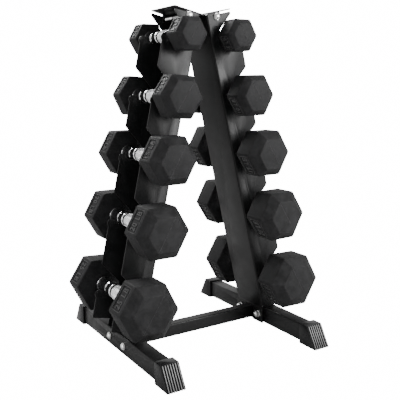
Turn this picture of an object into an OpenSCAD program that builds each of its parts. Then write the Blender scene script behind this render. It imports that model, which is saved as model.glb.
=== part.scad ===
// Five-tier dumbbell rack with its five pairs of hex dumbbells.
// X runs along the cross brace, Y along the foot tubes, Z up. The floor is z = 0 and the origin
// is the middle of the footprint. Millimetres.
//
// Each upright is drawn in its own leaning frame: t is the distance out from the web's inner
// face, s is the distance up along the web from the floor.

/* [Rack] */
// Distance from the middle of the rack to the middle of a foot tube
foot_x = 182.5; // [150:1:230]
// Length of a foot tube
foot_len = 412; // [300:1:600]
// Width of a foot tube
foot_w = 33.3; // [25:0.1:45]
// Height of a foot tube
foot_h = 40.3; // [30:0.1:50]
// Height of the foot tube's underside above the floor
foot_lift = 3; // [1:0.5:6]
// Wall of the square and rectangular tubes
tube_wall = 1.5; // [1:0.1:3]
// Outer corner radius of the tubes
tube_round = 3; // [2:0.5:5]
// Width of the cross brace
brace_w = 25.4; // [20:0.1:30]
// Height of the cross brace
brace_h = 29.4; // [20:0.1:34]
// Thickness of the plate welded to each end of the cross brace
plate_t = 4; // [3:0.5:6]
// How far that plate stops short of the upright's edges
plate_short = 2.5; // [1:0.5:6]

/* [Uprights] */
// Half the distance between the webs' inner faces at the top bracket's upper face
top_half = 6.935; // [5:0.005:15]
// Width of an upright over its flanges
upright_w = 103; // [90:1:112]
// Thickness of the uprights' and top bracket's sheet steel
sheet = 2.5; // [2:0.1:4]
// Outer radius of the bend between web and flange
bend_r = 4; // [3.5:0.5:6]
// Depth of the flanges from the web's inner face to the hooks' outer edge
flange_d = 76.5; // [70:0.5:90]
// Height of the top bracket's upper face along the web
upright_len = 735; // [725:1:760]
// Depth of the narrow foot of a flange, which stands on the foot tube
heel_d = 36; // [30:0.5:40]
// Height along the web at which the flange widens above that foot
heel_s = 51.5; // [48:0.5:60]

/* [Cradles] */
// How much larger a cradle's round bottom is than the thickest handle, on the radius
cradle_room = 1; // [0.6:0.1:2]
// Distance from the web's inner face to the middle of a cradle
notch_t = 44; // [42:0.5:46]
// Radius of a hook's round tip
lip_r = 9.5; // [8:0.5:11]
// Distance from a cradle's middle out to the middle of the hook's tip
lip_out = 26.5; // [25:0.5:28]
// Distance of the hook's tip below the cradle's middle
lip_down = 15; // [14:0.5:18]
// Slope of each cradle's guiding edge against the line square to the web, in degrees
guide_slope = 37; // [34:1:40]
// Height of the guiding edge's outer corner above the cradle's middle
guide_up = 53; // [50:0.5:56]
// Radius of a hook's outer lower corner
hook_round = 6; // [3:0.5:8]
// Gap between a handle and its cradle
cradle_gap = 0.3; // [0.2:0.05:0.6]

/* [Top bracket] */
// Reach of the top bracket out from the web's inner face
lid_reach = 62; // [56:1:66]
// Depth of the bracket's side tabs below its upper face
tab_d = 23; // [20:1:26]
// Reach of the side tabs out from the web's inner face
tab_reach = 34; // [32:1:36]
// Play between the tabs and the flanges
tab_gap = 0.2; // [0.1:0.05:0.5]
// Distance of a top bolt from the web's inner face
top_bolt_t = 25; // [22:0.5:26]
// Distance of a top bolt below the bracket's upper face
top_bolt_down = 10.5; // [10:0.5:12]

/* [Fasteners] */
// Thread diameter of the top bolts
top_bolt_d = 8; // [6:1:8]
// Head diameter of the top bolts
top_head_d = 13; // [12:0.5:14]
// Thread diameter of the brace bolts
brace_bolt_d = 8; // [8:1:10]
// Head diameter of the brace bolts
brace_head_d = 14; // [13:0.5:18]
// Distance of a brace bolt from the upright's edge
brace_bolt_in = 15.75; // [14:0.25:18]
// Play of a bolt in its hole, on the diameter
bolt_play = 0.6; // [0.4:0.1:1]
// Thickness of a washer
washer_t = 1.5; // [1:0.1:2]

/* [End caps] */
// Wall of an end cap beside the tube
cap_wall = 3.85; // [2:0.05:6]
// How far a cap's outer edge on the floor stands past the tube's end
cap_past = 31.5; // [28:0.5:45]
// How far the cap's outer face leans in from floor to top
cap_slant = 26.6; // [15:0.1:28]
// Length of an end cap along its top
cap_top_len = 26.7; // [22:0.1:30]
// Thickness of the cap above the tube
cap_roof = 3; // [2:0.1:4]
// Play between a cap and its tube
cap_gap = 0.1; // [0.05:0.05:0.4]
// Number of ribs on a cap's outer face
rib_count = 7; // [5:1:9]
// Height of a rib
rib_h = 1.8; // [0.8:0.1:2]
// Width of a rib
rib_w = 2.4; // [1.5:0.1:3]

/* [Dumbbells] */
// Thickness of the rubber over the iron cores
rubber_t = 4; // [3:0.5:6]
// Radius of the handle's ends inside the heads
spigot_r = 11; // [9:0.5:12]
// Width of the flared collar next to each head
collar_w = 9; // [6:0.5:11]
// How far the flared collar stands out from the grip
collar_flare = 2.5; // [1:0.5:3]
// Width of the groove between the collar and the grip
groove_w = 3; // [2:0.5:4]
// Depth of that groove
groove_d = 1.5; // [1:0.1:2]
// Swell of the grip's middle
grip_swell = 1; // [0:0.1:1.5]
// Distance that a dumbbell's stand-in slide lifts it
lift = 150; // [120:10:200]

/* [Hidden] */
// One row for each tier, from the floor up: weight in pounds, height of the cradle's middle along
// the web, grip radius, head width across flats, distance of the head's inner rim, of its outer
// rim and of its end face from the rack's middle, the end face's width across flats, and how far
// the left and the right dumbbell are turned in their cradles, in degrees from a flat on top.
tiers = [
    [25, 120.5, 16.5, 115, 85, 137.5, 155, 77, -3.4, -1.2],
    [20, 281, 16, 105, 81.5, 133.5, 151.5, 70, 0, 1.5],
    [15, 426, 15, 96, 80, 124.5, 143, 65, 0, 1],
    [10, 554, 14.5, 85.5, 76, 112.5, 127.5, 62, -4.6, 1],
    [5, 682.5, 13, 64.5, 69, 106, 115.5, 46, 0, -0.5]
];
WEIGHT = 0;
CRADLE_S = 1;
GRIP_R = 2;
HEAD_AF = 3;
RIM_IN = 4;
RIM_OUT = 5;
END_Y = 6;
END_AF = 7;
TURN_LEFT = 8;
TURN_RIGHT = 9;

LEFT = -1;
RIGHT = 1;
FRONT = -1;
REAR = 1;
UP = [0, 1];

big = 1000;                                // larger than the rack
over = 5;                                  // how far a cutting shape runs past what it cuts
join = 1;                                  // overlap of two shapes drawn as one piece

foot_top = foot_lift + foot_h;
foot_in = foot_x - foot_w / 2;
foot_out = foot_x + foot_w / 2;
plate_x = foot_in - plate_t;               // inner face of a brace plate
tab_x = plate_x - sheet;                   // inner face of the web's foot tab
lean = lean_after(12);                     // how far each upright leans in, in degrees
web_x0 = tab_x + foot_top * tan(lean);     // where the web's inner face meets the floor
bolt_z = foot_lift + foot_h / 2;
brace_z = bolt_z - 1.2;                    // middle of the cross brace
plate_h = foot_h - 1;
plate_len = upright_w - 2 * plate_short;
brace_bolt_pitch = upright_w - 2 * brace_bolt_in;
foot_tab_h = foot_h - 0.3;
lid_s = upright_len - sheet;               // underside of the top bracket
flange_top = lid_s - tab_gap;
slot_h = 3.5;                              // slot between the horn and the bracket
inner_y = upright_w / 2 - sheet;           // inner face of a flange
tab_y = inner_y - tab_gap;                 // outer face of a bracket tab
notch_r = max([for (tier = tiers) tier[GRIP_R]]) + cradle_room;
notch_wall = notch_t - notch_r;            // back wall of a cradle
horn_t = 61.5;                             // tip of the horn
horn_up = 42;                              // tip of the horn above the top cradle's middle
horn_back = 2;                             // how far the horn's upper edge steps back
horn_slope = guide_slope + 1;
horn_round = 3.2;
heel_round = 3;                            // radius of the corner above the heel
mouth_round = 8;                           // radius at the top of a cradle's back wall
bend_relief = 5;                           // cut-out at the foot of each bend
notch_clear = 1;                           // gap between the web's foot tab and the brace
top_bolt_s = upright_len - top_bolt_down;
top_head_h = 4.5;
top_nut_h = 6.8;
top_nut_af = 13;
top_washer_d = 14.5;
brace_head_h = 5;
brace_nut_h = 6.8;
brace_nut_af = 13;
brace_washer_d = 16;
thread_over = 4;                           // thread showing past a nut
crown = 0.1;                               // depth of the flat on top of a domed bolt head
tube_end = foot_len / 2;
cap_w = foot_w + 2 * (cap_gap + cap_wall);
cap_top = foot_top + cap_roof;
cap_out = tube_end + cap_past;
cap_in = cap_out - cap_slant - cap_top_len;
chamfer = 2;
tab_start = 7;                             // the bracket's tabs start clear of the bend
lid_past = top_half + 2 * over;            // the bracket's plate is drawn this far past the web
seat_w = 6;                                // straight part of a handle inside each flange
end_cover = 14;                            // iron and rubber past the handle's end

$fn = 64;

// ---- Helpers ----

// The lean that takes the web's inner face through its foot and its top, found step by step.
function lean_after(steps) = steps == 0 ? 0 :
    asin((tab_x + foot_top * tan(lean_after(steps - 1)) - top_half) / upright_len);

// Draws its children for one side; the right side is as drawn, the left is its mirror image.
module on_side(side) {
    if (side == LEFT) mirror([1, 0, 0]) children();
    else children();
}

// Puts children drawn in the leaning frame, with t along X and s along Z, in the rack's frame.
module leaned() {
    translate([web_x0, 0, 0]) rotate([0, -lean, 0]) children();
}

// Stands a flat outline drawn in X and Y up in X and Z, from y to y + thick.
module upright_plate(y, thick) {
    translate([0, y + thick, 0]) rotate([90, 0, 0]) linear_extrude(thick) children();
}

// A cylinder along Y from y, at the given place.
module rod_y(x, y, z, r, len) {
    translate([x, y + len, z]) rotate([90, 0, 0]) cylinder(r = r, h = len);
}

// A cylinder along X from x, at the given place.
module rod_x(x, y, z, r, len) {
    translate([x, y, z]) rotate([0, 90, 0]) cylinder(r = r, h = len);
}

// Flat rectangle with round corners, centred.
module round_rect(w, h, r) {
    square([w - 2 * r, h], center = true);
    square([w, h - 2 * r], center = true);
    for (x = [-1, 1], y = [-1, 1]) translate([x * (w / 2 - r), y * (h / 2 - r)]) circle(r);
}

// Hollow tube section, centred.
module tube_section(w, h) {
    difference() {
        round_rect(w, h, tube_round);
        round_rect(w - 2 * tube_wall, h - 2 * tube_wall, tube_round - tube_wall);
    }
}

// The sliver between a corner at p, with neighbours a and b, and a round of radius r in it.
module corner_sliver(p, a, b, r) {
    u = (a - p) / norm(a - p);
    v = (b - p) / norm(b - p);
    half = acos(u * v) / 2;
    mid = (u + v) / norm(u + v);
    c = p + mid * r / sin(half);
    reach = r / tan(half);
    over = 1.2;
    difference() {
        polygon([c, c + (p + u * reach - c) * over, c + (p - c) * over,
                 c + (p + v * reach - c) * over]);
        circle_at(c, r);
    }
}

module circle_at(p, r) {
    translate(p) circle(r);
}

// ---- Foot tubes, end caps and cross brace ----

module foot_tube(side) {
    color([0.1, 0.1, 0.1]) on_side(side) difference() {
        translate([foot_x, tube_end, foot_lift + foot_h / 2]) rotate([90, 0, 0])
            linear_extrude(foot_len) tube_section(foot_w, foot_h);
        brace_bolt_holes();
    }
}

// The cap's side outline, in Y and Z, with its outer face back by the given depth.
module cap_outline(back) {
    polygon([[cap_in, chamfer], [cap_in + chamfer, 0], [cap_out - back, 0],
             [cap_out - cap_slant - back, cap_top], [cap_in, cap_top]]);
}

module cap_slab(back, w) {
    rotate([90, 0, 90]) translate([0, 0, -w / 2]) linear_extrude(w) cap_outline(back);
}

module end_cap(side, end) {
    rib_pitch = (cap_w - rib_w) / rib_count;
    color([0.12, 0.12, 0.12]) on_side(side) mirror([0, end == FRONT ? 1 : 0, 0])
        translate([foot_x, 0, 0]) difference() {
            union() {
                cap_slab(rib_h, cap_w);
                for (i = [0 : rib_count - 1])
                    translate([(i - (rib_count - 1) / 2) * rib_pitch, 0, 0]) cap_slab(0, rib_w);
            }
            translate([0, tube_end + cap_gap, foot_lift + foot_h / 2]) rotate([90, 0, 0])
                linear_extrude(foot_len / 2)
                    round_rect(foot_w + 2 * cap_gap, foot_h + 2 * cap_gap, tube_round);
        }
}

module cross_brace() {
    color([0.1, 0.1, 0.1]) translate([-plate_x, 0, brace_z]) rotate([90, 0, 90])
        linear_extrude(2 * plate_x) tube_section(brace_w, brace_h);
}

module brace_plate(side) {
    color([0.1, 0.1, 0.1]) on_side(side) difference() {
        translate([plate_x, 0, bolt_z]) rotate([90, 0, 90])
            linear_extrude(plate_t) round_rect(plate_len, plate_h, tube_round);
        brace_bolt_holes();
    }
}

module at_brace_bolts() {
    for (y = [-1, 1]) translate([0, y * brace_bolt_pitch / 2, bolt_z]) children();
}

module brace_bolt_holes() {
    at_brace_bolts() rod_x(tab_x - over, 0, 0, (brace_bolt_d + bolt_play) / 2,
                           foot_out - tab_x + 2 * over);
}

// ---- Uprights ----

// Section of the bent web in t and Y, with the start of both flanges.
module web_section() {
    leg = 8;
    difference() {
        bent_outline(upright_w, bend_r, leg);
        translate([sheet, 0]) bent_outline(upright_w - 2 * sheet, bend_r - sheet, leg);
    }
}

// Rectangle from x = 0 to x = leg with its two corners at x = 0 rounded.
module bent_outline(w, r, leg) {
    translate([r, -w / 2]) square([leg - r, w]);
    translate([0, -w / 2 + r]) square([r, w - 2 * r]);
    for (y = [-1, 1]) translate([r, y * (w / 2 - r)]) circle(r);
}

// A cradle's guiding edge at distance t, for the cradle whose middle is at s.
function guide_s(s, t) = s + guide_up - (flange_d - t) * tan(guide_slope);

// Flange outline in t and s.
module flange_outline() {
    start = bend_r + join;
    top_s = tiers[len(tiers) - 1][CRADLE_S];
    horn_s = top_s + horn_up;
    horn_foot = [notch_wall, horn_s - (horn_t - notch_wall) * tan(horn_slope)];
    horn_tip = [horn_t, horn_s];
    slot_s = flange_top - slot_h;
    horn_top = [horn_t - horn_back, slot_s];
    slot_in = [tab_reach, slot_s];
    difference() {
        union() {
            difference() {
                polygon([[start, 0], [heel_d, 0], [heel_d, heel_s], [flange_d, heel_s],
                         [flange_d, top_s - lip_down], [notch_wall, top_s - lip_down],
                         horn_foot, horn_tip, horn_top, slot_in, [tab_reach, flange_top],
                         [start, flange_top]]);
                for (i = [0 : len(tiers) - 2]) cradle_mouth(tiers[i][CRADLE_S]);
                corner_sliver(horn_tip, horn_foot, horn_top, horn_round);
                corner_sliver([flange_d, heel_s], [flange_d, heel_s] + UP, [heel_d, heel_s], heel_round);
            }
            for (tier = tiers)
                circle_at([notch_t + lip_out, tier[CRADLE_S] - lip_down], lip_r);
        }
        for (tier = tiers) circle_at([notch_t, tier[CRADLE_S]], notch_r);
    }
    corner_sliver(horn_foot, horn_tip, horn_foot - UP, mouth_round);
}

// What is cut away above a cradle's round bottom, up to the guiding edge.
module cradle_mouth(s) {
    low_s = s - lip_down;
    foot = [notch_wall, guide_s(s, notch_wall)];
    corner = [flange_d, s + guide_up];
    beyond = [flange_d + over, guide_s(s, flange_d + over)];
    difference() {
        polygon([[notch_wall, low_s], foot, beyond, [flange_d + over, low_s]]);
        corner_sliver(foot, beyond, foot - UP, mouth_round);
    }
    corner_sliver(corner, corner + UP, foot, hook_round);
}

module upright(side) {
    color([0.13, 0.13, 0.13]) on_side(side) difference() {
        union() {
            intersection() {
                leaned() union() {
                    linear_extrude(flange_top) web_section();
                    for (y = [-upright_w / 2, inner_y]) upright_plate(y, sheet) flange_outline();
                }
                translate([0, -big / 2, foot_top]) cube(big);
            }
            web_foot();
        }
        leaned() top_bolt_holes();
        brace_bolt_holes();
        for (y = [-1, 1])
            translate([tab_x, y * upright_w / 2, foot_top])
                cube([2 * (sheet + join), 2 * bend_relief, 2 * bend_relief], center = true);
    }
}

// The web's straight foot tab, which hangs inside the foot tube and straddles the cross brace.
module web_foot() {
    slot_w = brace_w + 2 * notch_clear;
    difference() {
        translate([tab_x, -upright_w / 2, foot_top - foot_tab_h])
            cube([sheet, upright_w, foot_tab_h + join]);
        translate([tab_x - over, -slot_w / 2, 0])
            cube([sheet + 2 * over, slot_w, brace_z + brace_h / 2 + notch_clear]);
    }
}

// ---- Top bracket and fasteners ----

module top_bolt_holes() {
    rod_y(top_bolt_t, -upright_w, top_bolt_s, (top_bolt_d + bolt_play) / 2, 2 * upright_w);
}

// One bent plate across both uprights, with two tabs down inside each.
module top_bracket() {
    color([0.12, 0.12, 0.12]) for (side = [LEFT, RIGHT]) on_side(side) difference() {
        union() {
            intersection() {
                leaned() translate([-lid_past, -upright_w / 2, lid_s])
                    cube([lid_reach + lid_past, upright_w, sheet]);
                translate([0, -big / 2, 0]) cube(big);
            }
            leaned() for (y = [-tab_y, tab_y - sheet])
                translate([tab_start, y, upright_len - tab_d])
                    cube([tab_reach - tab_start, sheet, tab_d - sheet / 2]);
        }
        leaned() top_bolt_holes();
    }
}

// Bolt with a domed round head from z = 0 up and its shank below, as one turned shape.
module dome_bolt(d, head_d, head_h, shank) {
    rise = head_h * 0.65;
    ball = (pow(head_d / 2, 2) + pow(rise, 2)) / (2 * rise);
    rotate_extrude() {
        translate([0, -shank]) square([d / 2, shank + head_h / 2]);
        intersection() {
            translate([0, head_h - ball]) circle(ball);
            square([head_d / 2, head_h - crown]);
        }
    }
}

module hex_nut(d, across, h) {
    difference() {
        cylinder(d = across / cos(30), h = h, $fn = 6);
        translate([0, 0, -over]) cylinder(d = d, h = h + 2 * over);
    }
}

module ring(d_out, d_in, h) {
    difference() {
        cylinder(d = d_out, h = h);
        translate([0, 0, -over]) cylinder(d = d_in, h = h + 2 * over);
    }
}

// Puts children, drawn along +Z from the flange's outer face, at one end of each top bolt.
module at_top_bolt_ends(end) {
    for (side = [LEFT, RIGHT]) on_side(side) leaned()
        translate([top_bolt_t, end * upright_w / 2, top_bolt_s])
            rotate([end == REAR ? -90 : 90, 0, 0]) children();
}

module top_bolts() {
    shank = upright_w + 2 * washer_t + top_nut_h + thread_over;
    color([0.8, 0.8, 0.8]) at_top_bolt_ends(FRONT)
        translate([0, 0, washer_t]) dome_bolt(top_bolt_d, top_head_d, top_head_h, shank);
}

module top_washers() {
    color([0.75, 0.75, 0.75]) for (end = [FRONT, REAR])
        at_top_bolt_ends(end) ring(top_washer_d, top_bolt_d + bolt_play, washer_t);
}

module top_nuts() {
    color([0.7, 0.7, 0.7]) at_top_bolt_ends(REAR)
        translate([0, 0, washer_t]) hex_nut(top_bolt_d, top_nut_af, top_nut_h);
}

// Puts children, drawn along +Z, on a foot tube's outer face at each brace bolt, pointing out.
module at_bolt_heads() {
    for (side = [LEFT, RIGHT]) on_side(side) at_brace_bolts()
        translate([foot_out, 0, 0]) rotate([0, 90, 0]) children();
}

// The same on the web's foot tab, pointing in.
module at_bolt_nuts() {
    for (side = [LEFT, RIGHT]) on_side(side) at_brace_bolts()
        translate([tab_x, 0, 0]) rotate([0, -90, 0]) children();
}

module brace_bolts() {
    shank = foot_w + plate_t + sheet + 2 * washer_t + brace_nut_h + thread_over;
    color([0.8, 0.8, 0.8]) at_bolt_heads()
        translate([0, 0, washer_t]) dome_bolt(brace_bolt_d, brace_head_d, brace_head_h, shank);
}

module brace_washers() {
    color([0.75, 0.75, 0.75]) {
        at_bolt_heads() ring(brace_washer_d, brace_bolt_d + bolt_play, washer_t);
        at_bolt_nuts() ring(brace_washer_d, brace_bolt_d + bolt_play, washer_t);
    }
}

module brace_nuts() {
    color([0.7, 0.7, 0.7]) at_bolt_nuts()
        translate([0, 0, washer_t]) hex_nut(brace_bolt_d, brace_nut_af, brace_nut_h);
}

// ---- Dumbbells ----

// A handle rests in its cradle on the lowest point of the round bottom.
function rest_drop(tier) = notch_r - tier[GRIP_R] - cradle_gap;
function rest_t(tier) = notch_t - rest_drop(tier) * sin(lean);
function rest_s(tier) = tier[CRADLE_S] - rest_drop(tier) * cos(lean);
function rest_x(tier) = web_x0 + rest_t(tier) * cos(lean) - rest_s(tier) * sin(lean);
function rest_z(tier) = rest_t(tier) * sin(lean) + rest_s(tier) * cos(lean);

function spigot_end(tier) = tier[END_Y] - end_cover;

// Draws children on a handle's axis, with Z along +Y, turned as that dumbbell lies.
module on_axis(side, tier) {
    turn = side == LEFT ? tier[TURN_LEFT] : -tier[TURN_RIGHT];
    on_side(side) translate([rest_x(tier), 0, rest_z(tier)]) rotate([-90, 0, 0])
        rotate([0, 0, turn]) children();
}

// Chrome handle: a straight seat in each cradle, a slightly swollen grip between them, and a
// groove and a flared collar next to each head.
module handle(side, tier) {
    r = tier[GRIP_R];
    rim = tier[RIM_IN];
    end = spigot_end(tier);
    swell_y = inner_y - seat_w;
    collar_y = rim - collar_w;
    groove_y = collar_y - groove_w;
    half = [[0, r + grip_swell], [swell_y * 0.5, r + grip_swell * 0.7], [swell_y, r],
            [groove_y, r], [groove_y, r - groove_d], [collar_y, r - groove_d], [collar_y, r],
            [rim, r + collar_flare], [rim, spigot_r], [end, spigot_r]];
    n = len(half);
    outline = concat([for (p = half) [p[1], p[0]]],
                     [[0, end], [0, -end]],
                     [for (i = [n - 1 : -1 : 1]) [half[i][1], -half[i][0]]]);
    color([0.85, 0.85, 0.85]) on_axis(side, tier) rotate_extrude() polygon(outline);
}

// Hexagonal head, smaller all round by the given skin, with a sloped rim and a flat end face.
module hex_head(tier, end, skin) {
    body = tier[RIM_OUT] - tier[RIM_IN];
    bevel = tier[END_Y] - tier[RIM_OUT];
    wide = (tier[HEAD_AF] / 2 - skin) / cos(30);
    narrow = (tier[END_AF] / 2 - skin) / cos(30);
    mirror([0, 0, end == FRONT ? 1 : 0]) {
        translate([0, 0, tier[RIM_IN] + skin]) cylinder(r = wide, h = body - skin, $fn = 6);
        translate([0, 0, tier[RIM_OUT]])
            cylinder(r1 = wide, r2 = narrow, h = bevel - skin, $fn = 6);
    }
}

module head(side, tier, end) {
    color([0.12, 0.12, 0.12]) on_axis(side, tier) difference() {
        hex_head(tier, end, 0);
        hex_head(tier, end, rubber_t);
        cylinder(r = spigot_r, h = 2 * spigot_end(tier), center = true);
    }
}

module cores(side, tier) {
    color([0.3, 0.3, 0.3]) on_axis(side, tier) for (end = [FRONT, REAR]) difference() {
        hex_head(tier, end, rubber_t);
        cylinder(r = spigot_r, h = 2 * spigot_end(tier), center = true);
    }
}

// ---- Nodes ----

foot_tube(LEFT);  // left_foot_tube
foot_tube(RIGHT);  // right_foot_tube
end_cap(LEFT, FRONT);  // left_front_cap
end_cap(LEFT, REAR);  // left_rear_cap
end_cap(RIGHT, FRONT);  // right_front_cap
end_cap(RIGHT, REAR);  // right_rear_cap
cross_brace();
brace_plate(LEFT);  // left_brace_plate
brace_plate(RIGHT);  // right_brace_plate
upright(LEFT);  // left_upright
upright(RIGHT);  // right_upright
top_bracket();
top_bolts();
top_washers();
top_nuts();
brace_bolts();
brace_washers();
brace_nuts();

for (side = [LEFT, RIGHT], tier = tiers) {
    name = str(side == LEFT ? "left_" : "right_", tier[WEIGHT], "_");
    handle(side, tier);
    head(side, tier, FRONT);
    head(side, tier, REAR);
    cores(side, tier);
}
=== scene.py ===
"""Looks of the loaded dumbbell rack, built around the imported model."""

import math

import bmesh
import bpy
from mathutils import Matrix, Vector


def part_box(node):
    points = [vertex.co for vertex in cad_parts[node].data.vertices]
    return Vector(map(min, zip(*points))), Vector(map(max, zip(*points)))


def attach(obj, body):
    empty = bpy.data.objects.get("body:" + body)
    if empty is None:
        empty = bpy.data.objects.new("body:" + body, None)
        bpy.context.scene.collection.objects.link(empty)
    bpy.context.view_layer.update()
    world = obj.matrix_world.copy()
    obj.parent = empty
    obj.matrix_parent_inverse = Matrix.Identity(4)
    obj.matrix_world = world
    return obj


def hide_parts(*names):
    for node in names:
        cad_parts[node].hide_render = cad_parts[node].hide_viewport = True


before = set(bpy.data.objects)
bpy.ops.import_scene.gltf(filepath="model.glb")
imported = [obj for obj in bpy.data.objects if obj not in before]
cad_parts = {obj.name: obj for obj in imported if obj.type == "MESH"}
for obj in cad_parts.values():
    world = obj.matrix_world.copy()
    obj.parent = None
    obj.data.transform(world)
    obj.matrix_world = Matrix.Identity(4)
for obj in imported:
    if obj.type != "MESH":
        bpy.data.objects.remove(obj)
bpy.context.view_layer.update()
MM = 0.001

LEFT, RIGHT = "left", "right"
FRONT, REAR = -1, 1

# Dumbbells by weight in pounds: width across flats of the head and of its end face, distance of
# the head's inner rim, outer rim and end face from the rack's middle, the grip's radius, and how
# far the left and the right one are turned, in millimetres and degrees.
DUMBBELLS = {
    25: dict(flats=115, end_flats=77, inner=85, outer=137.5, end=155, grip=16.5, turn=(-3.4, -1.2)),
    20: dict(flats=105, end_flats=70, inner=81.5, outer=133.5, end=151.5, grip=16, turn=(0, 1.5)),
    15: dict(flats=96, end_flats=65, inner=80, outer=124.5, end=143, grip=15, turn=(0, 1)),
    10: dict(flats=85.5, end_flats=62, inner=76, outer=112.5, end=127.5, grip=14.5, turn=(-4.6, 1)),
    5: dict(flats=64.5, end_flats=46, inner=69, outer=106, end=115.5, grip=13, turn=(0, -0.5)),
}
ROLL = {LEFT: 0, RIGHT: 60}      # the right-hand ones lie one face further round
WINDOW_FACES = (150, 330)        # faces with the weight on them
SEAM_CORNER = 60                 # the parting line runs through this corner
WINDOW_DEPTH = 1.5 * MM
WINDOW_CORNER = 4 * MM           # radius of a window's corners
WINDOW_LENGTH_SHARE = 0.78       # of the width of one of the head's sides
WINDOW_WIDTH_SHARE = 0.62        # of the distance between the head's rims
LETTER_RISE = 1.3 * MM
LETTER_SINK = 0.9 * MM           # of the letters' middle below the head's side
LETTER_LENGTH_SHARE = 0.86       # of the window's length
LETTER_HEIGHT_SHARE = 0.6        # of the window's width

GRIP_END = 15                    # the knurling's end on each side of the middle, in millimetres
GROOVE_DEPTH = 1.8               # of the groove next to the knurling
GROOVE_END = GRIP_END + 9
KNURL_PITCH = 1.5

SHEET_EDGE = 0.45 * MM           # rounding of the coated steel's edges
CAP_EDGE = 0.5 * MM
GROOVE_REACH = 2 * MM            # how far below a cap's ribs the grooves between them go, with room
CREST_REACH = 0.3 * MM           # how far below the highest rib a crest may lie

# The M8 bolts, washers and nuts of the top bracket and of the brace.
BOLT_RADIUS = 4 * MM
BOLT_PITCH = 1.25 * MM
BOLT_HOLE = 8.6 * MM
SHANK_START = 0.5 * MM           # inside the head
THREAD_PAST_NUT = 4 * MM
WASHER_HEIGHT = 1.5 * MM
NUT_BORE = 7.4 * MM
NUT_FLATS = 13 * MM
NUT_HEIGHT = 6.8 * MM


# ---- Node helpers, for shader and geometry trees alike ----

def add(tree, kind, inputs=None, **settings):
    """Adds a node, with its settings and its inputs, which are values or sockets to link."""
    made = tree.nodes.new(kind)
    for key, value in settings.items():
        setattr(made, key, value)
    for key, value in (inputs or {}).items():
        if isinstance(value, bpy.types.NodeSocket):
            tree.links.new(value, made.inputs[key])
        else:
            made.inputs[key].default_value = value
    return made


def maths(tree, operation, *operands):
    """The result of a Math node on values or sockets."""
    return add(tree, "ShaderNodeMath", dict(enumerate(operands)), operation=operation).outputs[0]


def group_tree(name, kind, inputs, outputs):
    """A new node group with its sockets, and the nodes that stand for them inside it."""
    tree = bpy.data.node_groups.new(name, kind)
    for label, (socket, value) in inputs.items():
        made = tree.interface.new_socket(label, in_out="INPUT", socket_type=socket)
        if value is not None:
            made.default_value = value
    for label, socket in outputs.items():
        tree.interface.new_socket(label, in_out="OUTPUT", socket_type=socket)
    return tree, tree.nodes.new("NodeGroupInput").outputs, tree.nodes.new("NodeGroupOutput")


# ---- Shader groups ----

def make_grain_group():
    """Fine moulded or sprayed texture as a height, and slow patches for gloss and colour."""
    tree, given, out = group_tree(
        "surface_grain", "ShaderNodeTree",
        {"Grain Size": ("NodeSocketFloat", 0.001), "Patch Size": ("NodeSocketFloat", 0.03),
         "Offset": ("NodeSocketVector", None)},
        {"Height": "NodeSocketFloat", "Patches": "NodeSocketFloat"})
    place = add(tree, "ShaderNodeTexCoord").outputs["Object"]
    moved = add(tree, "ShaderNodeMapping", {"Vector": place, "Location": given["Offset"]}).outputs[0]
    fine = add(tree, "ShaderNodeTexNoise", {
        "Vector": moved, "Scale": maths(tree, "DIVIDE", 1.0, given["Grain Size"]),
        "Detail": 3.0, "Roughness": 0.55}).outputs[0]
    slow = add(tree, "ShaderNodeTexNoise", {
        "Vector": moved, "Scale": maths(tree, "DIVIDE", 1.0, given["Patch Size"]),
        "Detail": 4.0, "Roughness": 0.6, "Distortion": 0.4}).outputs[0]
    stretched = add(tree, "ShaderNodeMapRange", {
        "Value": slow, "From Min": 0.32, "From Max": 0.68}, interpolation_type="SMOOTHSTEP")
    tree.links.new(fine, out.inputs["Height"])
    tree.links.new(stretched.outputs[0], out.inputs["Patches"])
    return tree


def make_wear_group():
    """Mask of the outer edges, broken up so that it isn't an even line."""
    tree, given, out = group_tree(
        "edge_wear", "ShaderNodeTree",
        {"Radius": ("NodeSocketFloat", 0.001), "Gain": ("NodeSocketFloat", 6.0),
         "Break Size": ("NodeSocketFloat", 0.004)},
        {"Mask": "NodeSocketFloat"})
    rounded = add(tree, "ShaderNodeBevel", {"Radius": given["Radius"]}, samples=4).outputs[0]
    normal = add(tree, "ShaderNodeNewGeometry").outputs["Normal"]
    alike = add(tree, "ShaderNodeVectorMath", {0: rounded, 1: normal}, operation="DOT_PRODUCT")
    bend = maths(tree, "MULTIPLY", maths(tree, "SUBTRACT", 1.0, alike.outputs["Value"]), given["Gain"])
    broken = add(tree, "ShaderNodeTexNoise", {
        "Vector": add(tree, "ShaderNodeTexCoord").outputs["Object"],
        "Scale": maths(tree, "DIVIDE", 1.0, given["Break Size"]), "Detail": 2.0}).outputs[0]
    patchy = maths(tree, "MULTIPLY", bend, maths(tree, "ADD", 0.4, broken))
    clamped = add(tree, "ShaderNodeClamp", {"Value": patchy}).outputs[0]
    tree.links.new(clamped, out.inputs["Mask"])
    return tree


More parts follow.
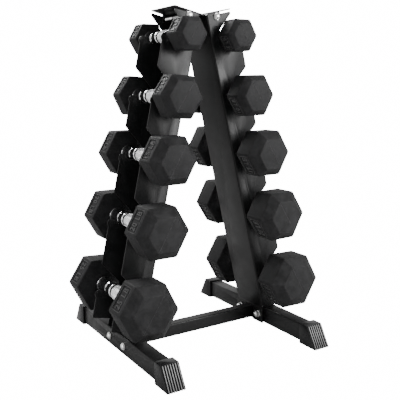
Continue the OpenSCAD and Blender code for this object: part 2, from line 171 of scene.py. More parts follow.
def make_dust_group():
    """Mask of thin dust on what faces up."""
    tree, given, out = group_tree(
        "settled_dust", "ShaderNodeTree",
        {"Amount": ("NodeSocketFloat", 0.3), "Size": ("NodeSocketFloat", 0.02)},
        {"Mask": "NodeSocketFloat"})
    normal = add(tree, "ShaderNodeNewGeometry").outputs["Normal"]
    up = add(tree, "ShaderNodeSeparateXYZ", {0: normal}).outputs["Z"]
    facing = add(tree, "ShaderNodeMapRange", {"Value": up, "From Min": 0.1, "From Max": 0.95}).outputs[0]
    cloud = add(tree, "ShaderNodeTexNoise", {
        "Vector": add(tree, "ShaderNodeTexCoord").outputs["Object"],
        "Scale": maths(tree, "DIVIDE", 1.0, given["Size"]), "Detail": 5.0}).outputs[0]
    mask = maths(tree, "MULTIPLY", maths(tree, "MULTIPLY", facing, cloud), given["Amount"])
    tree.links.new(add(tree, "ShaderNodeClamp", {"Value": mask}).outputs[0], out.inputs["Mask"])
    return tree


GRAIN = make_grain_group()
WEAR = make_wear_group()
DUST = make_dust_group()


def use_group(tree, group, **inputs):
    labels = {key.replace("_", " ").title(): value for key, value in inputs.items()}
    return add(tree, "ShaderNodeGroup", labels, node_tree=group).outputs


def blended(tree, mask, low, high):
    """Colour that goes from low to high with the mask."""
    mixed = add(tree, "ShaderNodeMix", {"Factor": mask}, data_type="RGBA")
    for socket, value in ((mixed.inputs["A"], low), (mixed.inputs["B"], high)):
        if isinstance(value, bpy.types.NodeSocket):
            tree.links.new(value, socket)
        else:
            socket.default_value = (*value, 1)
    return mixed.outputs["Result"]


def ranged(tree, value, low, high):
    return add(tree, "ShaderNodeMapRange", {"Value": value, "To Min": low, "To Max": high}).outputs[0]


def surface(name, dark, light, worn, gloss, metallic=0.0, ior=1.5, shine=0.5, grain=0.001,
            depth=0.00002, patch=0.03, wear_radius=0.001, wear_gain=5.0, dust=0.0,
            dust_colour=(0.3, 0.3, 0.3)):
    """A finish whose colour and roughness drift in patches, with worn edges, dust and grain."""
    made = bpy.data.materials.new(name)
    made.use_nodes = True
    tree = made.node_tree
    shader = tree.nodes["Principled BSDF"]
    texture = use_group(tree, GRAIN, grain_size=grain, patch_size=patch)
    edges = use_group(tree, WEAR, radius=wear_radius, gain=wear_gain)["Mask"]
    colour = blended(tree, texture["Patches"], dark, light)
    colour = blended(tree, edges, colour, worn)
    rough = ranged(tree, texture["Patches"], *gloss)
    if dust:
        fallen = use_group(tree, DUST, amount=dust)["Mask"]
        colour = blended(tree, fallen, colour, dust_colour)
        rough = maths(tree, "ADD", rough, maths(tree, "MULTIPLY", fallen, 0.25))
    bump = add(tree, "ShaderNodeBump", {"Height": texture["Height"], "Distance": depth, "Strength": 1.0})
    tree.links.new(colour, shader.inputs["Base Color"])
    tree.links.new(rough, shader.inputs["Roughness"])
    tree.links.new(bump.outputs[0], shader.inputs["Normal"])
    shader.inputs["Metallic"].default_value = metallic
    shader.inputs["IOR"].default_value = ior
    shader.inputs["Specular IOR Level"].default_value = shine
    return made


def powder_coat():
    return surface("black_powder_coat", (0.005, 0.005, 0.0052), (0.0075, 0.0075, 0.0077),
                   (0.03, 0.03, 0.03), (0.36, 0.46), shine=0.22, grain=0.0011, depth=0.00002,
                   wear_radius=0.0008, wear_gain=2.0, dust=0.03, dust_colour=(0.1, 0.1, 0.1))


def cap_plastic():
    return surface("end_cap_plastic", (0.006, 0.006, 0.0065), (0.010, 0.010, 0.0105), (0.05, 0.05, 0.05),
                   (0.24, 0.32), shine=0.16, grain=0.0009, depth=0.000004, wear_radius=0.0008,
                   wear_gain=2.0, dust=0.02, dust_colour=(0.1, 0.1, 0.1))


# Darker plastic for the grooves between a cap's ribs: painted shade.
def groove_shade_plastic():
    return surface("cap_groove_painted_shade", (0.004, 0.004, 0.0043), (0.006, 0.006, 0.0063), (0.02, 0.02, 0.02),
                   (0.6, 0.75), shine=0.08, grain=0.0009, depth=0.000004)


# Lighter, glossier plastic for the crests of a cap's ribs: the gloss is the finish, the lighter colour a
# painted highlight.
def rib_highlight_plastic():
    return surface("cap_rib_painted_highlight", (0.008, 0.008, 0.0085), (0.012, 0.012, 0.0125), (0.02, 0.02, 0.02),
                   (0.26, 0.32), shine=0.6, grain=0.0009, depth=0.000002, wear_gain=1.0)


def head_rubber():
    return surface("head_rubber", (0.009, 0.009, 0.0093), (0.0175, 0.0175, 0.018), (0.04, 0.04, 0.041),
                   (0.55, 0.75), shine=0.11, grain=0.0007, depth=0.00006, patch=0.02,
                   wear_radius=0.0015, wear_gain=4.0, dust=0.02, dust_colour=(0.06, 0.06, 0.06))


# Lighter rubber for the raised letters and window lips: partly wear on the raised parts, partly a painted
# highlight where light catches them.
def worn_highlit_rubber():
    return surface("head_lettering", (0.03, 0.03, 0.0305), (0.045, 0.045, 0.0455), (0.07, 0.07, 0.07),
                   (0.4, 0.55), shine=0.2, grain=0.0005, depth=0.00004, patch=0.008, wear_radius=0.0005,
                   wear_gain=3.0)


def smooth_chrome():
    return surface("chrome_handle", (0.88, 0.88, 0.89), (0.94, 0.94, 0.95), (0.96, 0.96, 0.96),
                   (0.05, 0.12), metallic=1.0, grain=0.0004, depth=0.000002, patch=0.015,
                   wear_radius=0.0004, wear_gain=1.0)


def knurled_chrome():
    return surface("chrome_knurling", (0.86, 0.86, 0.87), (0.94, 0.94, 0.95), (0.96, 0.96, 0.96),
                   (0.16, 0.26), metallic=1.0, grain=0.0003, depth=0.000004, patch=0.01,
                   wear_radius=0.0003, wear_gain=1.0)


# Dark finish on the floor of the groove next to the knurling: painted shade, standing in for the groove's
# shadow and dark reflections.
def painted_groove_shade():
    return surface("painted_groove_shade", (0.006, 0.006, 0.006), (0.012, 0.012, 0.012), (0.02, 0.02, 0.02),
                   (0.6, 0.8), shine=0.08, grain=0.0004, depth=0.00003, patch=0.006)


def bright_zinc():
    return surface("zinc_hardware", (0.84, 0.84, 0.83), (0.92, 0.92, 0.91), (0.95, 0.95, 0.95),
                   (0.3, 0.42), metallic=1.0, grain=0.0005, depth=0.000008, patch=0.006,
                   wear_radius=0.0004, wear_gain=2.0)


def cast_iron():
    return surface("cast_iron_core", (0.08, 0.08, 0.08), (0.14, 0.135, 0.13), (0.25, 0.24, 0.23),
                   (0.5, 0.7), metallic=0.8, grain=0.0015, depth=0.0001, patch=0.02)


POWDER_COAT = powder_coat()
CAP_PLASTIC = cap_plastic()
GROOVE_SHADE_PLASTIC = groove_shade_plastic()
RIB_HIGHLIGHT_PLASTIC = rib_highlight_plastic()
HEAD_RUBBER = head_rubber()
WORN_HIGHLIT_RUBBER = worn_highlit_rubber()
SMOOTH_CHROME = smooth_chrome()
KNURLED_CHROME = knurled_chrome()
BRIGHT_ZINC = bright_zinc()
CAST_IRON = cast_iron()
PAINTED_GROOVE_SHADE = painted_groove_shade()


# ---- Mesh helpers ----

def temporary(mesh):
    made = bpy.data.objects.new("temporary", mesh)
    bpy.context.scene.collection.objects.link(made)
    return made


def applied(mesh, *modifiers):
    """The mesh with these modifiers, each a kind and its settings, made plain."""
    host = temporary(mesh)
    for kind, settings in modifiers:
        modifier = host.modifiers.new(kind, kind)
        for key, value in settings.items():
            setattr(modifier, key, value)
    made = bpy.data.meshes.new_from_object(host.evaluated_get(bpy.context.evaluated_depsgraph_get()))
    bpy.data.objects.remove(host)
    return made


def mesh_from(verts, faces):
    """A closed mesh whose faces point outwards."""
    made = bpy.data.meshes.new("part")
    made.from_pydata(verts, [], faces)
    shape = bmesh.new()
    shape.from_mesh(made)
    bmesh.ops.remove_doubles(shape, verts=shape.verts, dist=1e-7)
    bmesh.ops.recalc_face_normals(shape, faces=shape.faces)
    shape.to_mesh(made)
    shape.free()
    return made


def joined(*meshes):
    shape = bmesh.new()
    for mesh in meshes:
        shape.from_mesh(mesh)
    made = bpy.data.meshes.new("joined")
    shape.to_mesh(made)
    shape.free()
    return made


def moved(mesh, matrix):
    made = mesh.copy()
    made.transform(matrix)
    if matrix.determinant() < 0:
        made.flip_normals()
    return made


def rings_joined(rings, closed_ends=True, around=False):
    """Faces between rings with the same number of points; around also joins the last to the first."""
    count = len(rings[0])
    verts = [point for ring in rings for point in ring]
    pairs = [(i, i + 1) for i in range(len(rings) - 1)]
    if around:
        pairs.append((len(rings) - 1, 0))
    faces = [(a * count + k, a * count + (k + 1) % count, b * count + (k + 1) % count, b * count + k)
             for a, b in pairs for k in range(count)]
    if closed_ends and not around:
        faces.append(tuple(reversed(range(count))))
        faces.append(tuple(range(len(verts) - count, len(verts))))
    return verts, faces


def turned(profile, segments=48):
    """Shape turned about Z from (radius, height) points; the ends are closed."""
    rings = [[(radius * math.cos(2 * math.pi * k / segments), radius * math.sin(2 * math.pi * k / segments),
               height) for k in range(segments)] for radius, height in profile]
    return mesh_from(*rings_joined(rings))


def round_rectangle(width, height, radius, level, steps=5):
    """Outline of a rectangle with round corners, at the given height."""
    points = []
    for corner in range(4):
        x = (width / 2 - radius) * (1 if corner in (0, 3) else -1)
        y = (height / 2 - radius) * (1 if corner in (0, 1) else -1)
        for step in range(steps + 1):
            angle = math.radians(90 * (corner + step / steps))
            points.append((x + radius * math.cos(angle), y + radius * math.sin(angle), level))
    return points


def show(name, mesh, materials, body, slot, *nodes):
    """Adds a finished piece that rides on its body and stands for its CAD nodes."""
    mesh.name = name
    made = bpy.data.objects.new(name, mesh)
    bpy.context.scene.collection.objects.link(made)
    indices = [polygon.material_index for polygon in mesh.polygons]
    mesh.materials.clear()           # this also sets every index to 0
    for material in materials:
        mesh.materials.append(material)
    mesh.polygons.foreach_set("material_index", indices)
    mesh.shade_smooth()
    mesh.set_sharp_from_angle(angle=math.radians(32))
    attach(made, body)
    if nodes:
        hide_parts(*nodes)
    return made


def grow(tree, **values):
    """Runs a geometry tree with these inputs and returns the mesh it makes."""
    host = temporary(bpy.data.meshes.new("seed"))
    modifier = host.modifiers.new(tree.name, "NODES")
    modifier.node_group = tree
    sockets = {item.name: item.identifier for item in tree.interface.items_tree if item.in_out == "INPUT"}
    for key, value in values.items():
        modifier[sockets[key.replace("_", " ").title()]] = value
    made = bpy.data.meshes.new_from_object(host.evaluated_get(bpy.context.evaluated_depsgraph_get()))
    host.modifiers.clear()
    bpy.data.objects.remove(host)
    return made


# ---- Geometry trees ----

def closed_barrel(tree, vertices, segments, length):
    """A closed cylinder of radius 1 along Z, with its points' angle, height and the points."""
    barrel = add(tree, "GeometryNodeMeshCylinder", {
        "Vertices": vertices, "Side Segments": segments, "Radius": 1.0, "Depth": length},
        fill_type="TRIANGLE_FAN").outputs["Mesh"]
    place = add(tree, "ShaderNodeSeparateXYZ", {0: add(tree, "GeometryNodeInputPosition").outputs[0]}).outputs
    angle = maths(tree, "ARCTAN2", place["Y"], place["X"])
    return barrel, place, angle


def with_radius(tree, barrel, place, radius, material, out):
    """Moves a barrel's points to the given radius and ends the tree."""
    spread = add(tree, "ShaderNodeCombineXYZ", {
        "X": maths(tree, "MULTIPLY", place["X"], radius),
        "Y": maths(tree, "MULTIPLY", place["Y"], radius), "Z": place["Z"]}).outputs[0]
    shaped = add(tree, "GeometryNodeSetPosition", {"Geometry": barrel, "Position": spread}).outputs[0]
    split = add(tree, "GeometryNodeTriangulate", {"Mesh": shaped}).outputs[0]
    real = add(tree, "GeometryNodeRealizeInstances", {"Geometry": split}).outputs[0]
    painted = add(tree, "GeometryNodeSetMaterial", {"Geometry": real, "Material": material}).outputs[0]
    tree.links.new(painted, out.inputs["Geometry"])


def make_knurl_tree():
    """Barrel covered with diamond knurling: every second point stands out as a pyramid's tip."""
    tree, given, out = group_tree("knurled_grip", "GeometryNodeTree", {
        "Radius": ("NodeSocketFloat", 0.015), "Swell": ("NodeSocketFloat", 0.0005),
        "Length": ("NodeSocketFloat", 0.035), "Teeth": ("NodeSocketInt", 60),
        "Rows": ("NodeSocketInt", 20), "Depth": ("NodeSocketFloat", 0.0003),
        "Material": ("NodeSocketMaterial", None)}, {"Geometry": "NodeSocketGeometry"})
    columns = maths(tree, "MULTIPLY", given["Teeth"], 2)
    lines = maths(tree, "MULTIPLY", given["Rows"], 2)
    barrel, place, angle = closed_barrel(tree, columns, lines, given["Length"])
    column = maths(tree, "ROUND", maths(tree, "MULTIPLY", maths(tree, "DIVIDE", angle, 2 * math.pi), columns))
    share = maths(tree, "DIVIDE", place["Z"], given["Length"])
    line = maths(tree, "ROUND", maths(tree, "MULTIPLY", maths(tree, "ADD", share, 0.5), lines))
    odd = maths(tree, "ABSOLUTE", maths(tree, "MODULO", maths(tree, "ADD", column, line), 2))
    inside = maths(tree, "LESS_THAN", maths(tree, "ABSOLUTE", share), 0.499)
    tip = maths(tree, "MULTIPLY", maths(tree, "MULTIPLY", odd, inside), given["Depth"])
    crown = maths(tree, "SUBTRACT", 1.0, maths(tree, "POWER", maths(tree, "MULTIPLY", share, 2), 2))
    radius = maths(tree, "ADD", maths(tree, "ADD", given["Radius"], tip),
                   maths(tree, "MULTIPLY", crown, given["Swell"]))
    with_radius(tree, barrel, place, radius, given["Material"], out)
    return tree


def make_thread_tree():
    """Rod with a screw thread: the radius follows a wave that climbs one pitch for each turn."""
    tree, given, out = group_tree("threaded_rod", "GeometryNodeTree", {
        "Radius": ("NodeSocketFloat", 0.004), "Length": ("NodeSocketFloat", 0.05),
        "Pitch": ("NodeSocketFloat", 0.00125), "Depth": ("NodeSocketFloat", 0.0006),
        "Material": ("NodeSocketMaterial", None)}, {"Geometry": "NodeSocketGeometry"})
    turns = maths(tree, "DIVIDE", given["Length"], given["Pitch"])
    segments = maths(tree, "ROUND", maths(tree, "MULTIPLY", turns, 4))
    barrel, place, angle = closed_barrel(tree, 24, segments, given["Length"])
    climb = maths(tree, "ADD", maths(tree, "DIVIDE", place["Z"], given["Pitch"]),
                  maths(tree, "DIVIDE", angle, 2 * math.pi))
    wave = maths(tree, "PINGPONG", climb, 0.5)
    cut = maths(tree, "MULTIPLY", maths(tree, "MULTIPLY", wave, 2), given["Depth"])
    to_end = maths(tree, "SUBTRACT", maths(tree, "DIVIDE", given["Length"], 2),
                   maths(tree, "ABSOLUTE", place["Z"]))
    lead = maths(tree, "MAXIMUM", maths(tree, "SUBTRACT", given["Depth"], to_end), 0.0)
    radius = maths(tree, "SUBTRACT", given["Radius"], maths(tree, "MAXIMUM", cut, lead))
    with_radius(tree, barrel, place, radius, given["Material"], out)
    return tree


KNURL_TREE = make_knurl_tree()
THREAD_TREE = make_thread_tree()


# ---- Rack ----

def eased(node, width, segments=2):
    """Copy of a CAD node's mesh with its sharp edges rounded."""
    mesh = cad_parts[node].data.copy()
    shape = bmesh.new()
    shape.from_mesh(mesh)
    bmesh.ops.remove_doubles(shape, verts=shape.verts, dist=2e-6)
    bmesh.ops.dissolve_limit(shape, angle_limit=math.radians(0.5), verts=shape.verts, edges=shape.edges)
    shape.to_mesh(mesh)
    shape.free()
    return applied(mesh, ("BEVEL", dict(width=width, segments=segments, limit_method="ANGLE",
                                        angle_limit=math.radians(40), harden_normals=False)))


def make_frame_steel():
    for node in ("left_upright", "right_upright", "top_bracket", "left_foot_tube", "right_foot_tube",
                 "cross_brace", "left_brace_plate", "right_brace_plate"):
        show(node + "_coated", eased(node, SHEET_EDGE), [POWDER_COAT], "rack", "black_powder_coat", node)


def finish_ribs(mesh, end):
    """Gives a cap's slanted face its own finishes: a darker plastic in the grooves (1), which is painted
    shade, and a lighter, glossier plastic on the ribs (2), whose lighter colour is a painted highlight.
    """
    slanted = [p for p in mesh.polygons if p.normal.y * end > 0.5 and p.normal.z > 0.3]
    way = max(slanted, key=lambda p: p.area).normal.copy()
    crest = max(p.center.dot(way) for p in slanted)
    low, high = min(v.co.x for v in mesh.vertices), max(v.co.x for v in mesh.vertices)
    for polygon in mesh.polygons:
        depth = crest - polygon.center.dot(way)
        off_sides = low + CREST_REACH < polygon.center.x < high - CREST_REACH
        outward = polygon.normal.dot(way) > 0.9
        sideways = abs(polygon.normal.x) > 0.9
        if off_sides and (outward or sideways) and CREST_REACH < depth < GROOVE_REACH:
            polygon.material_index = 1
        elif outward and depth < CREST_REACH:
            polygon.material_index = 2


def make_caps():
    for side in (LEFT, RIGHT):
        for name, end in (("front", FRONT), ("rear", REAR)):
            node = f"{side}_{name}_cap"
            mesh = eased(node, CAP_EDGE)
            finish_ribs(mesh, end)
            show(node + "_moulded", mesh, [CAP_PLASTIC, GROOVE_SHADE_PLASTIC, RIB_HIGHLIGHT_PLASTIC], "rack",
                 "end_cap_plastic", node)


# ---- Fasteners ----

def domed_head(diameter, height):
    rim = height * 0.35
    rise = height - rim
    ball = ((diameter / 2) ** 2 + rise ** 2) / (2 * rise)
    reach = math.asin(diameter / 2 / ball)
    ease = 0.25 * MM
    dome = [(ball * math.sin(reach * (1 - k / 10)), height - ball + ball * math.cos(reach * (1 - k / 10)))
            for k in range(10)]
    return turned([(0, 0), (diameter / 2 - ease, 0), (diameter / 2, ease), (diameter / 2, rim - ease),
                   *dome, (0, height)])


def washer(outer, inner, height):
    ease = 0.2 * MM
    rings = [(outer / 2 - ease, 0), (outer / 2, ease), (outer / 2, height - ease), (outer / 2 - ease, height),
             (inner / 2 + ease, height), (inner / 2, height - ease), (inner / 2, ease), (inner / 2 + ease, 0)]
    circle = [[(r * math.cos(math.pi * k / 24), r * math.sin(math.pi * k / 24), z) for k in range(48)]
              for r, z in rings]
    return mesh_from(*rings_joined(circle, around=True))


def hex_nut(bore, flats, height):
    """Nut with both ends chamfered to a circle, so that its corners are cut in arcs."""
    steps = 72
    def ring(radius_at, level_at):
        points = []
        for k in range(steps):
            angle = 2 * math.pi * k / steps
            hexagon = flats / 2 / math.cos((angle + math.pi / 6) % (math.pi / 3) - math.pi / 6)
            radius = radius_at(hexagon)
            points.append((radius * math.cos(angle), radius * math.sin(angle), level_at(hexagon)))
        return points
    face = flats / 2 * 0.96

    def drop(hexagon):
        return (hexagon - face) * math.tan(math.radians(30))

    rings = [ring(lambda h: bore / 2, lambda h: 0), ring(lambda h: face, lambda h: 0),
             ring(lambda h: h, drop), ring(lambda h: h, lambda h: height - drop(h)),
             ring(lambda h: face, lambda h: height), ring(lambda h: bore / 2, lambda h: height)]
    return mesh_from(*rings_joined(rings, around=True))


def bolt_shank(smooth, length):
    """Plain shank and then thread, pointing down from inside the head."""
    plain = turned([(BOLT_RADIUS, SHANK_START), (BOLT_RADIUS, SHANK_START - smooth)], 32)
    thread_length = length - smooth + BOLT_PITCH
    thread = grow(THREAD_TREE, radius=BOLT_RADIUS, length=thread_length, pitch=BOLT_PITCH,
                  depth=0.6 * BOLT_PITCH, material=BRIGHT_ZINC)
    thread.transform(Matrix.Translation((0, 0, SHANK_START - length + thread_length / 2)))
    return [plain, thread]


def along(direction, origin):
    """Matrix that stands +Z up along the direction, at the origin given."""
    return Matrix.Translation(origin) @ Vector(direction).to_track_quat("Z", "Y").to_matrix().to_4x4()


def make_top_fasteners():
    head, head_height, smooth = 13 * MM, 4.5 * MM, 69 * MM
    low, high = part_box("top_bolts")
    x, z = high.x - head / 2, (low.z + high.z) / 2
    upright_low, upright_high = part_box("left_upright")
    front, rear = upright_low.y, upright_high.y
    bolts, washers, nuts = [], [], []
    for side in (-1, 1):
        seat = along((0, -1, 0), (side * x, front - WASHER_HEIGHT, z))
        length = high.y - front + WASHER_HEIGHT
        for part in [domed_head(head, head_height), *bolt_shank(smooth, length)]:
            bolts.append(moved(part, seat))
        for direction, y in ((-1, front), (1, rear)):
            place = along((0, direction, 0), (side * x, y, z))
            washers.append(moved(washer(14.5 * MM, BOLT_HOLE, WASHER_HEIGHT), place))
        nuts.append(moved(hex_nut(NUT_BORE, NUT_FLATS, NUT_HEIGHT),
                          along((0, 1, 0), (side * x, rear + WASHER_HEIGHT, z))))
    show("top_bolts_threaded", joined(*bolts), [BRIGHT_ZINC], "rack", "zinc_hardware", "top_bolts")
    show("top_washers_pressed", joined(*washers), [BRIGHT_ZINC], "rack", "zinc_hardware", "top_washers")
    show("top_nuts_chamfered", joined(*nuts), [BRIGHT_ZINC], "rack", "zinc_hardware", "top_nuts")


def make_brace_fasteners():
    head, head_height, smooth = 14 * MM, 5 * MM, 30 * MM
    low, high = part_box("brace_bolts")
    y, z = high.y - head / 2, (low.z + high.z) / 2
    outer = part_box("right_foot_tube")[1].x
    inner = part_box("right_brace_plate")[0].x - 2.5 * MM          # past the upright's foot tab
    length = outer - inner + 2 * WASHER_HEIGHT + NUT_HEIGHT + THREAD_PAST_NUT
    bolts, washers, nuts = [], [], []
    for side in (-1, 1):
        for row in (-1, 1):
            seat = along((side, 0, 0), (side * (outer + WASHER_HEIGHT), row * y, z))
            for part in [domed_head(head, head_height), *bolt_shank(smooth, length)]:
                bolts.append(moved(part, seat))
            for direction, x in ((side, outer), (-side, inner)):
                place = along((direction, 0, 0), (side * x, row * y, z))
                washers.append(moved(washer(16 * MM, BOLT_HOLE, WASHER_HEIGHT), place))
            nuts.append(moved(hex_nut(NUT_BORE, NUT_FLATS, NUT_HEIGHT),
                              along((-side, 0, 0), (side * (inner - WASHER_HEIGHT), row * y, z))))
    show("brace_bolts_threaded", joined(*bolts), [BRIGHT_ZINC], "rack", "zinc_hardware", "brace_bolts")
    show("brace_washers_pressed", joined(*washers), [BRIGHT_ZINC], "rack", "zinc_hardware", "brace_washers")
    show("brace_nuts_chamfered", joined(*nuts), [BRIGHT_ZINC], "rack", "zinc_hardware", "brace_nuts")


# ---- Dumbbells ----

def hexagon(flats, turn, x, z, y):
    """Corners of a hexagon with a flat on top, turned, around a dumbbell's axis."""
    radius = flats / 2 / math.cos(math.pi / 6)
    angles = [math.radians(60 * k + turn) for k in range(6)]
    return [(x + radius * math.cos(a), y, z + radius * math.sin(a)) for a in angles]


def head_block(size, turn, x, z, end):
    """Rounded hexagonal head with its sloped shoulder and flat end face."""
    stations = ((size["inner"], size["flats"]), (size["outer"], size["flats"]),
                (size["end"], size["end_flats"]))
    rings = [hexagon(flats * MM, turn, x, z, end * distance * MM) for distance, flats in stations]
    mesh = mesh_from(*rings_joined(rings))
    shape = bmesh.new()
    shape.from_mesh(mesh)
    weight = shape.edges.layers.float.new("bevel_weight_edge")
    for edge in shape.edges:
        distances = sorted(round(abs(v.co.y) / MM, 2) for v in edge.verts)
        if distances[0] == distances[1]:
            edge[weight] = {size["inner"]: 0.7, size["outer"]: 0.55, size["end"]: 0.4}[distances[0]]
        else:
            edge[weight] = 1.0
    shape.to_mesh(mesh)
    shape.free()
    return applied(mesh, ("BEVEL", dict(width=2.8 * MM, segments=4, limit_method="WEIGHT")))


def weight_letters(weight, length, height):
    """Raised weight in plain narrow letters, centred, lying in X and Y."""
    curve = bpy.data.curves.new("weight", "FONT")
    curve.body = f"{weight} LB"
    curve.align_x = "CENTER"
    curve.align_y = "CENTER"
    curve.size = 1
    curve.space_character = 1.15
    curve.offset = 0.012
    curve.resolution_u = 3
    curve.extrude = 0.5
    holder = bpy.data.objects.new("weight", curve)
    bpy.context.scene.collection.objects.link(holder)
    made = bpy.data.meshes.new_from_object(holder.evaluated_get(bpy.context.evaluated_depsgraph_get()))
    bpy.data.objects.remove(holder)
    across = [v.co.x for v in made.vertices]
    along_y = [v.co.y for v in made.vertices]
    centre = Matrix.Translation((-(max(across) + min(across)) / 2, -(max(along_y) + min(along_y)) / 2, 0))
    made.transform(Matrix.Diagonal((length / (max(across) - min(across)),
                                    height / (max(along_y) - min(along_y)), LETTER_RISE, 1)) @ centre)
    return made


def window_place(size, face, x, z, end):
    """Matrix from a window's own frame to its face: X along the text, Y to the inner rim, Z out."""
    angle = math.radians(face)
    out = Vector((math.cos(angle), 0, math.sin(angle)))
    up = Vector((0, -end, 0))
    run = up.cross(out)
    origin = Vector((x, end * (size["inner"] + size["outer"]) / 2 * MM, z)) + out * size["flats"] / 2 * MM
    return Matrix.Translation(origin) @ Matrix((run, up, out)).transposed().to_4x4()


def window_frame(length, width):
    """Raised lip around a window, with a skirt down its wall."""
    lip, proud, deep = 1.3 * MM, 0.4 * MM, WINDOW_DEPTH
    sizes = ((lip, -0.3 * MM), (lip * 0.6, proud), (0.3 * MM, proud), (-0.1 * MM, -deep))
    rings = [round_rectangle(length + 2 * grow_by, width + 2 * grow_by, WINDOW_CORNER + grow_by, level)
             for grow_by, level in sizes]
    return mesh_from(*rings_joined(rings, around=True))


def parting_line(size, corner, x, z, end):
    """Thin raised line across the end face from corner to corner."""
    reach = (size["end_flats"] / math.sqrt(3) - 1.5) * MM
    angle = math.radians(corner)
    way = Vector((math.cos(angle), 0, math.sin(angle)))
    side = Vector((-math.sin(angle), 0, math.cos(angle))) * 0.7 * MM
    base = Vector((x, end * (size["end"] - 0.05) * MM, z))
    top = Vector((0, end * 0.45 * MM, 0))
    rings = [[base + way * k * reach + side, base + way * k * reach + top,
              base + way * k * reach - side] for k in (-1, 1)]
    return mesh_from(*rings_joined(rings))


def make_head(weight, size, side, end, x, z, turn):
    block = head_block(size, turn, x, z, end)
    length = WINDOW_LENGTH_SHARE * size["flats"] / math.sqrt(3) * MM
    width = WINDOW_WIDTH_SHARE * (size["outer"] - size["inner"]) * MM
    cutters, worn_highlit_parts = [], []
    letters = weight_letters(weight, LETTER_LENGTH_SHARE * length, LETTER_HEIGHT_SHARE * width)
    for face in WINDOW_FACES:
        place = window_place(size, face + ROLL[side] + turn, x, z, end)
        slab = mesh_from(*rings_joined([round_rectangle(length, width, WINDOW_CORNER, level)
                                        for level in (-WINDOW_DEPTH, 3 * MM)]))
        cutters.append(moved(slab, place))
        worn_highlit_parts.append(moved(window_frame(length, width), place))
        worn_highlit_parts.append(moved(letters, place @ Matrix.Translation((0, 0, -LETTER_SINK))))
    cutter = temporary(joined(*cutters))
    cut = applied(block, ("BOOLEAN", dict(operation="DIFFERENCE", object=cutter, solver="EXACT")))
    bpy.data.objects.remove(cutter)
    seam = parting_line(size, SEAM_CORNER + ROLL[side] + turn, x, z, end)
    body, raised = joined(cut, seam), joined(*worn_highlit_parts)
    # Index 1, the raised letters and lips, takes the lighter rubber: wear and a painted highlight.
    for mesh, index in ((body, 0), (raised, 1)):
        for polygon in mesh.polygons:
            polygon.material_index = index
    end_name = "front" if end == FRONT else "rear"
    node = f"{side}_{weight}_{end_name}_head"
    show(node + "_moulded", joined(body, raised), [HEAD_RUBBER, WORN_HIGHLIT_RUBBER],
         f"{side}_{weight}_dumbbell", "head_rubber", node)


def handle_profile(size):
    """Half of a handle's outline as (radius, distance): knurled middle, groove, ring, seat, collar."""
    r, rim = size["grip"], size["inner"]
    return [(r - 0.6, 0), (r - 0.6, GRIP_END - 0.5),
            (r - GROOVE_DEPTH, GRIP_END + 0.4), (r - GROOVE_DEPTH, GROOVE_END),
            (r - 0.9, GRIP_END + 9.4), (r - 0.3, GRIP_END + 10.2), (r, GRIP_END + 11.6), (r, GRIP_END + 14.4),
            (r - 0.3, GRIP_END + 15.6), (r - 1.2, GRIP_END + 16.8), (r - 1.6, GRIP_END + 18),
            (r - 1.5, 46), (r - 0.8, 48.5), (r - 0.3, 51), (r, 54), (r, 58), (r, rim - 9),
            (r + 0.6, rim - 5), (r + 1.9, rim - 1.5), (r + 2.5, rim - 0.6), (r + 2.5, rim + 0.5),
            (11, rim + 1), (11, rim + 6)]


def make_handle(weight, size, side, x, z):
    half = handle_profile(size)
    points = [(radius, -distance) for radius, distance in reversed(half)] + half[1:]
    bar = turned([(radius * MM, height * MM) for radius, height in points], 72)
    grip = grow(KNURL_TREE, radius=(size["grip"] + 0.1) * MM, swell=0.5 * MM, length=2 * GRIP_END * MM,
                teeth=round(2 * math.pi * size["grip"] / KNURL_PITCH), rows=round(2 * GRIP_END / KNURL_PITCH),
                depth=0.35 * MM, material=KNURLED_CHROME)
    for polygon in grip.polygons:
        polygon.material_index = 1
    # The groove's faces take the dark finish (index 2), which is painted shade.
    for polygon in bar.polygons:
        reach = sum(abs(bar.vertices[k].co.z) for k in polygon.vertices) / len(polygon.vertices) / MM
        if GRIP_END + 0.5 < reach < GROOVE_END + 0.3:
            polygon.material_index = 2
    place = along((0, 1, 0), (x, 0, z))
    node = f"{side}_{weight}_handle"
    show(node + "_knurled", joined(moved(bar, place), moved(grip, place)),
         [SMOOTH_CHROME, KNURLED_CHROME, PAINTED_GROOVE_SHADE], f"{side}_{weight}_dumbbell", "chrome_handle", node)


def make_dumbbells():
    for index, side in enumerate((LEFT, RIGHT)):
        for weight, size in DUMBBELLS.items():
            low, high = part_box(f"{side}_{weight}_handle")
            x, z = (low.x + high.x) / 2, (low.z + high.z) / 2
            for end in (FRONT, REAR):
                make_head(weight, size, side, end, x, z, size["turn"][index])
            make_handle(weight, size, side, x, z)
            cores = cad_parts[f"{side}_{weight}_cores"].data
            cores.materials.clear()
            cores.materials.append(CAST_IRON)


# ---- Stage ----

GROUND_SEEN = 16                 # brightness of floor and backdrop to the camera
LIGHTS = {                       # place, target, width and height in metres, power in watts
    "front_softbox": ((1.3, -2.2, 1.05), (0, 0, 0.6), 2.4, 1.7, 78),
    "front_spot": ((0.72, -1.3, 1.05), (-0.05, -0.1, 0.4), 1.0, 0.8, 27),
    "left_softbox": ((-2.2, -0.2, 0.8), (-0.15, 0, 0.4), 1.4, 1.2, 18),
    "rear_softbox": ((-0.3, 1.2, 1.6), (-0.15, 0, 0.35), 0.8, 0.5, 34),
}
CAMERA_PLACE = (-0.72386, -1.20359, 0.56930)
CAMERA_TURN = (31.679, 10.288, -0.624)     # to the right, down and about its own axis, in degrees
CAMERA_LENS = 56.79


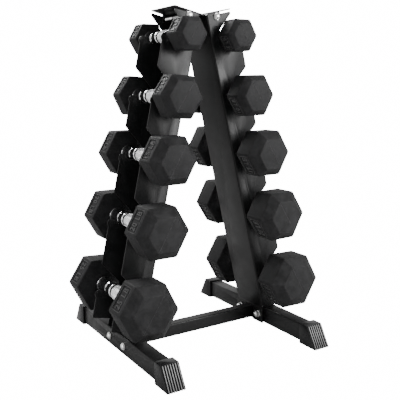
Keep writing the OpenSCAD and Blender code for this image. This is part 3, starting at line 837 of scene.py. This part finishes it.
def make_floor():
    """Pale floor: the camera sees it brightly lit, while it throws only a soft light back up."""
    mesh = mesh_from([(-6, -4, 0), (6, -4, 0), (6, 14, 0), (-6, 14, 0)], [(0, 1, 2, 3)])
    floor = bpy.data.objects.new("pale_floor", mesh)
    bpy.context.scene.collection.objects.link(floor)
    paint = bpy.data.materials.new("pale_floor")
    paint.use_nodes = True
    tree = paint.node_tree
    matt = tree.nodes["Principled BSDF"]
    matt.inputs["Base Color"].default_value = (0.55, 0.55, 0.55, 1)
    matt.inputs["Roughness"].default_value = 0.9
    bright = add(tree, "ShaderNodeEmission", {"Color": (1, 1, 1, 1), "Strength": GROUND_SEEN}).outputs[0]
    seen = add(tree, "ShaderNodeLightPath").outputs["Is Camera Ray"]
    chosen = add(tree, "ShaderNodeMixShader", {0: seen, 1: matt.outputs[0], 2: bright}).outputs[0]
    tree.links.new(chosen, tree.nodes["Material Output"].inputs["Surface"])
    mesh.materials.append(paint)


def make_light(name, place, target, width, height, power):
    lamp = bpy.data.lights.new(name, "AREA")
    lamp.shape = "RECTANGLE"
    lamp.size, lamp.size_y, lamp.energy = width, height, power
    holder = bpy.data.objects.new(name, lamp)
    bpy.context.scene.collection.objects.link(holder)
    holder.location = place
    holder.rotation_euler = (Vector(target) - Vector(place)).to_track_quat("-Z", "Y").to_euler()


def make_world():
    """White backdrop, seen brightly, whose own light is stronger from behind and from above."""
    world = bpy.data.worlds.new("white_room")
    bpy.context.scene.world = world
    world.use_nodes = True
    tree = world.node_tree
    tree.nodes.clear()
    seen = add(tree, "ShaderNodeBackground", {"Color": (1, 1, 1, 1), "Strength": GROUND_SEEN}).outputs[0]
    direction = add(tree, "ShaderNodeTexCoord").outputs["Generated"]
    way = add(tree, "ShaderNodeSeparateXYZ", {0: direction}).outputs
    behind = add(tree, "ShaderNodeMapRange", {
        "Value": way["Y"], "From Min": 0.0, "From Max": 0.7, "To Min": 0.5, "To Max": 1.0},
        interpolation_type="SMOOTHSTEP").outputs[0]
    above = add(tree, "ShaderNodeMapRange", {
        "Value": way["Z"], "From Min": 0.2, "From Max": 1.0, "To Min": 0.0, "To Max": 0.3}).outputs[0]
    lit = add(tree, "ShaderNodeBackground", {
        "Color": (1, 1, 1, 1), "Strength": maths(tree, "ADD", behind, above)}).outputs[0]
    chosen = add(tree, "ShaderNodeMixShader", {
        0: add(tree, "ShaderNodeLightPath").outputs["Is Camera Ray"], 1: lit, 2: seen}).outputs[0]
    add(tree, "ShaderNodeOutputWorld", {"Surface": chosen})


def make_camera():
    yaw, pitch, roll = (math.radians(angle) for angle in CAMERA_TURN)
    ahead = Vector((math.sin(yaw) * math.cos(pitch), math.cos(yaw) * math.cos(pitch), -math.sin(pitch)))
    right = Vector((math.cos(yaw), -math.sin(yaw), 0))
    up = right.cross(ahead)
    across = right * math.cos(roll) + up * math.sin(roll)
    upward = up * math.cos(roll) - right * math.sin(roll)
    lens = bpy.data.cameras.new("camera")
    lens.sensor_width = 36
    lens.lens = CAMERA_LENS
    camera = bpy.data.objects.new("camera", lens)
    bpy.context.scene.collection.objects.link(camera)
    turn = Matrix((across, upward, -ahead)).transposed().to_4x4()
    camera.matrix_world = Matrix.Translation(CAMERA_PLACE) @ turn
    bpy.context.scene.camera = camera


make_frame_steel()
make_caps()
make_top_fasteners()
make_brace_fasteners()
make_dumbbells()
make_floor()
make_world()
for light_name, light in LIGHTS.items():
    make_light(light_name, *light)
make_camera()
